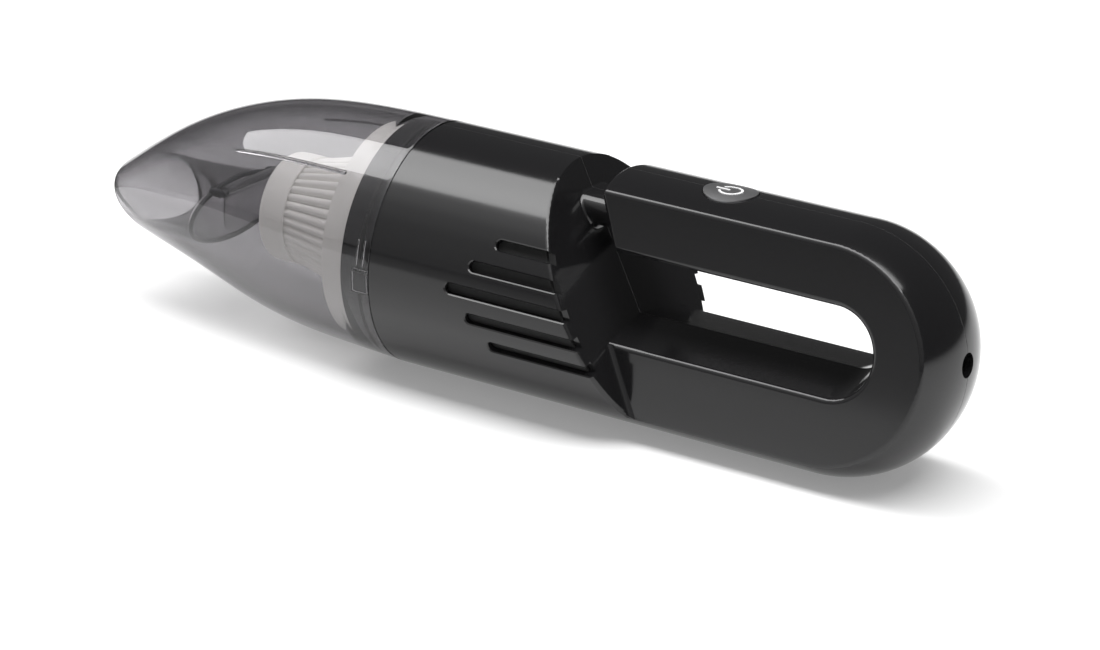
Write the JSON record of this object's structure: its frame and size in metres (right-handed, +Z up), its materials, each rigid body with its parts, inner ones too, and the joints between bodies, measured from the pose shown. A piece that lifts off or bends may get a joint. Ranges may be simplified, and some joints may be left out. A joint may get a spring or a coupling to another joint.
{
  "type": "handheld vacuum cleaner",
  "caption": "Cordless desktop mini vacuum: black barrel with a loop handle, a smoked clear dust cup tapering to a slanted mouth, a pleated filter and a round power button.",
  "frame": {"origin": "on the narrow resting flat under the barrel, below the middle of the barrel's axis", "axes": "+X along the barrel's axis towards the suction mouth, +Y to the left side, +Z up, away from the resting flat"},
  "size_m": [0.3105, 0.0802, 0.0802],
  "materials": {
    "casing_black": "gloss",
    "bulkhead_black": "semi-gloss",
    "inner_black": "matte",
    "screw_steel": "satin",
    "foam_dark": "open-cell foam",
    "button_silver": "satin",
    "symbol_white": "printed",
    "board_green": "satin",
    "cell_wrap": "shrink film",
    "tab_nickel": "bright",
    "rubber_black": "matte",
    "fan_grey": "satin",
    "rotor_copper": "wound",
    "motor_steel": "satin",
    "magnet_dark": "matte",
    "terminal_brass": "bright",
    "cup_smoked": "clear gloss",
    "duct_smoked": "clear gloss",
    "rim_dark": "satin",
    "flap_grey": "satin",
    "filter_ivory": "satin",
    "filter_paper": "pleated paper"
  },
  "bodies": {
    "casing": {"casing_left": "casing_black", "casing_right": "casing_black", "casing_screws": "screw_steel", "exhaust_foam_left": "foam_dark", "exhaust_foam_right": "foam_dark", "tact_switch": "inner_black", "control_board": "board_green", "board_components": "inner_black", "charging_socket": "inner_black", "battery_cell_left": "cell_wrap", "battery_cell_right": "cell_wrap", "battery_cradle": "inner_black", "battery_front_tab": "tab_nickel", "battery_rear_tab": "tab_nickel", "intake_bulkhead": "bulkhead_black", "intake_grille": "bulkhead_black", "cup_seal": "rubber_black", "fan_housing": "bulkhead_black", "motor_can": "motor_steel", "motor_magnets": "magnet_dark", "motor_end_cap": "inner_black", "motor_terminals": "terminal_brass", "motor_mount": "rubber_black"},
    "button": {"power_button": "button_silver", "power_symbol": "symbol_white", "switch_plunger": "inner_black"},
    "fan": {"fan_impeller": "fan_grey", "motor_shaft": "screw_steel", "motor_rotor": "rotor_copper"},
    "cup": {"dust_cup": "cup_smoked", "inlet_duct": "duct_smoked", "duct_rim": "rim_dark", "flap_pin": "screw_steel"},
    "flap": {"flap_valve": "flap_grey"},
    "filter": {"filter_cap": "filter_ivory", "filter_pleats": "filter_paper", "filter_cage": "filter_ivory", "filter_flange": "filter_ivory", "filter_gasket": "rubber_black"}
  },
  "joints": [
    {"name": "button_press", "type": "slide", "parent": "casing", "child": "button", "axis": [0, 0, -1], "range_m": [0, 0.0008], "stiffness_N_per_m": 800},
    {"name": "fan_spin", "type": "hinge", "parent": "casing", "child": "fan", "pos_m": [0.0177, 0, 0.0396], "axis": [1, 0, 0], "continuous": true},
    {"name": "cup_pull", "type": "slide", "parent": "casing", "child": "cup", "axis": [1, 0, 0], "range_m": [0, 0.2]},
    {"name": "flap_swing", "type": "hinge", "parent": "cup", "child": "flap", "pos_m": [0.1124, 0, 0.0442], "axis": [0, 1, 0], "range_deg": [-12, 50]},
    {"name": "filter_pull", "type": "slide", "parent": "cup", "child": "filter", "axis": [-1, 0, 0], "range_m": [0, 0.06]}
  ],
  "couplings": [
    {"joint": "filter_pull", "follows": "cup_pull", "ratio": 0.3}
  ]
}
